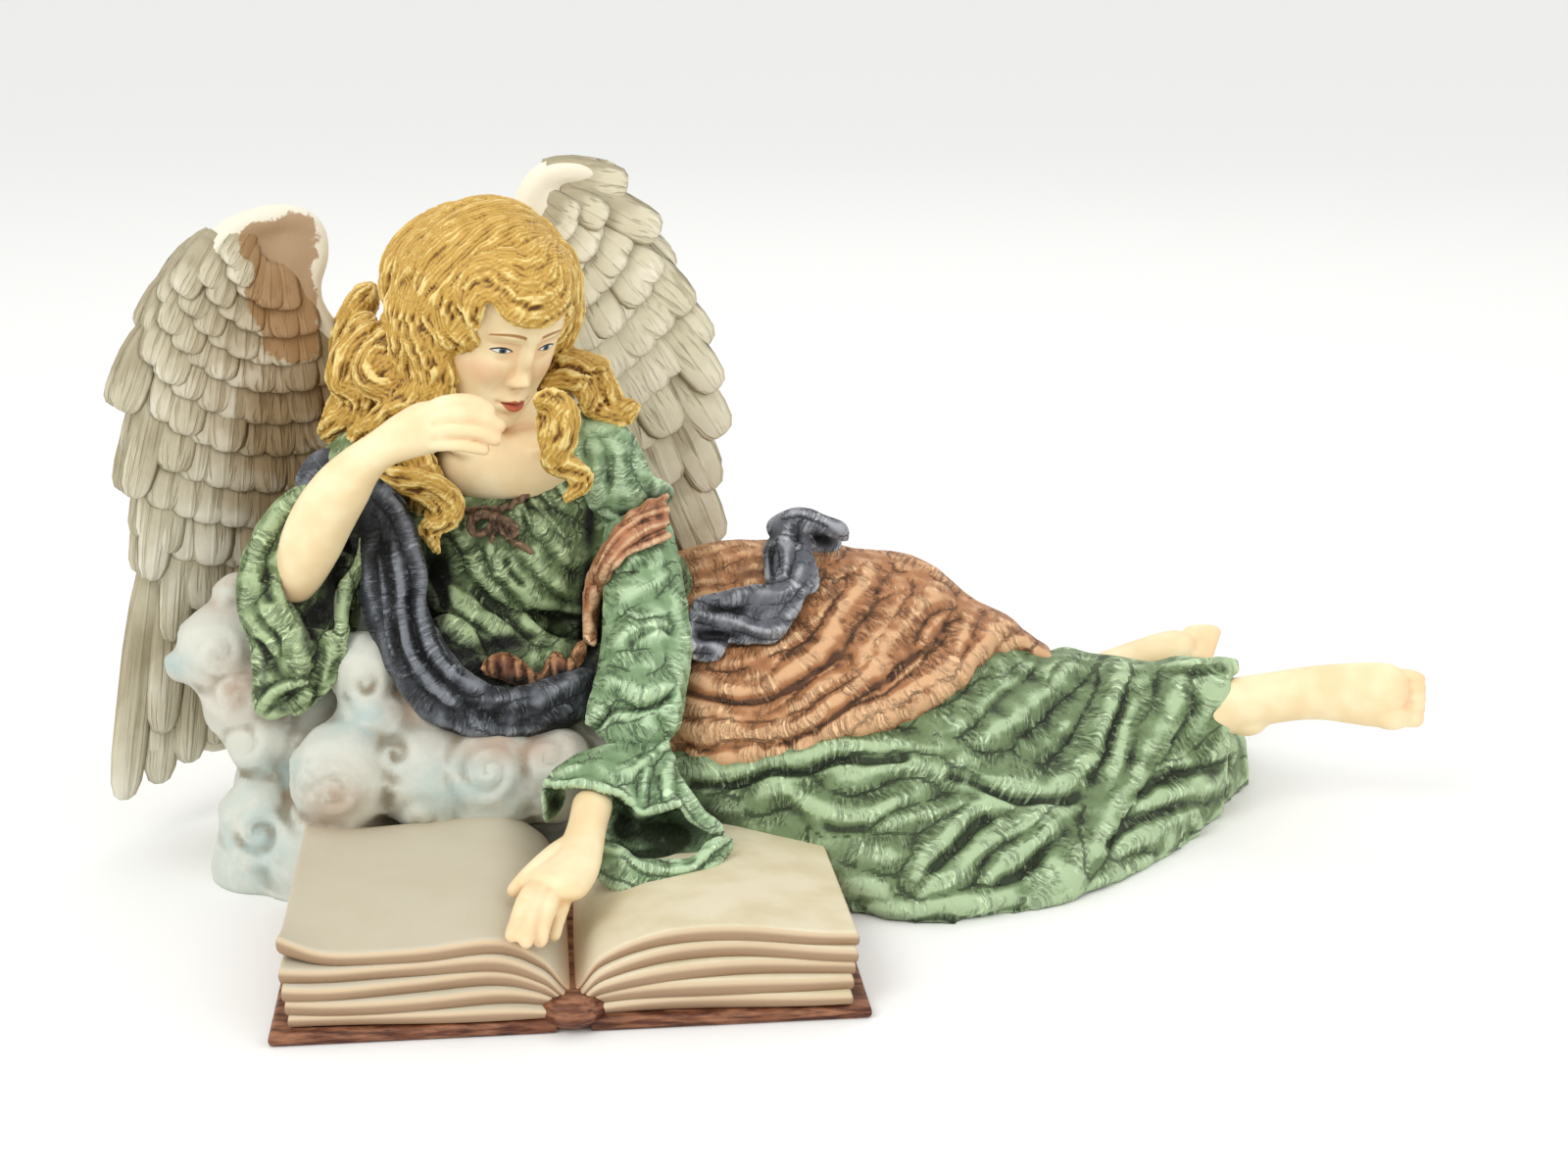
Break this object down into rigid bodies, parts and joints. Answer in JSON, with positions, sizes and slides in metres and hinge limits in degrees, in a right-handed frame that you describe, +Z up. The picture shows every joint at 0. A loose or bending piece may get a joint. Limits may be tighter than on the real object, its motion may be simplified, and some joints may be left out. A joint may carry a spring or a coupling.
{
  "type": "reclining angel figurine",
  "caption": "Painted cast figurine of a winged figure lying on its side on a cloud, chin on one hand, the other hand on an open book.",
  "frame": {"origin": "on the flat underside, below the middle of the figure", "axes": "+X from the head end to the feet, -Y to the front with the open book, +Z up"},
  "size_m": [0.287, 0.1704, 0.1429],
  "materials": {
    "painted_resin": "matt hand-painted resin in several colours"
  },
  "bodies": {
    "root": {"reading_angel": "painted_resin"}
  },
  "joints": []
}
